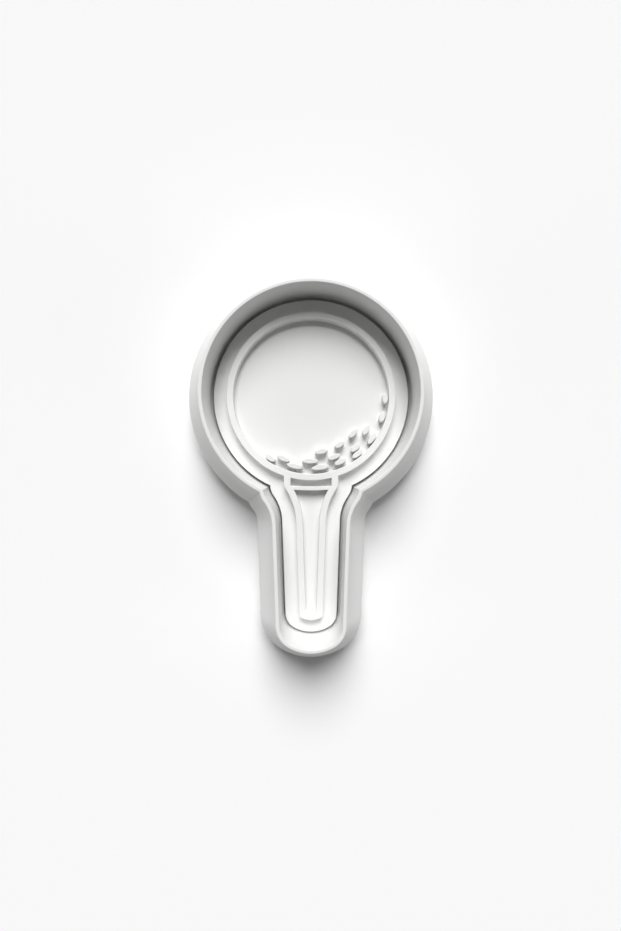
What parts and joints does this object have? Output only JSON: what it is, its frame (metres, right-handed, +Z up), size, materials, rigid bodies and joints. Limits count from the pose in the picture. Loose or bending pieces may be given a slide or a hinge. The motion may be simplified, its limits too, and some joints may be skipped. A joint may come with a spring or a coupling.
{
  "type": "cookie stamp",
  "caption": "Cookie stamp: a flat plate with a raised picture of a golf ball on a tee, sliding inside a matching ring that cuts the dough.",
  "frame": {"origin": "on the table, under the middle of the cutter's base", "axes": "+Y from the tee towards the ball, along the length; +Z up, from the base to the blade; +X to the right of the picture"},
  "size_m": [0.0574, 0.0896, 0.015],
  "materials": {
    "cutter_plastic": "plain white, fine matte grain",
    "stamp_plastic": "plain white, fine matte grain"
  },
  "bodies": {
    "cutter": {"outer_cutter": "cutter_plastic"},
    "stamp": {"inner_stamp": "stamp_plastic"}
  },
  "joints": [
    {"name": "stamp_slide", "type": "slide", "parent": "cutter", "child": "stamp", "axis": [0, 0, 1], "range_m": [0, 0.02]}
  ]
}
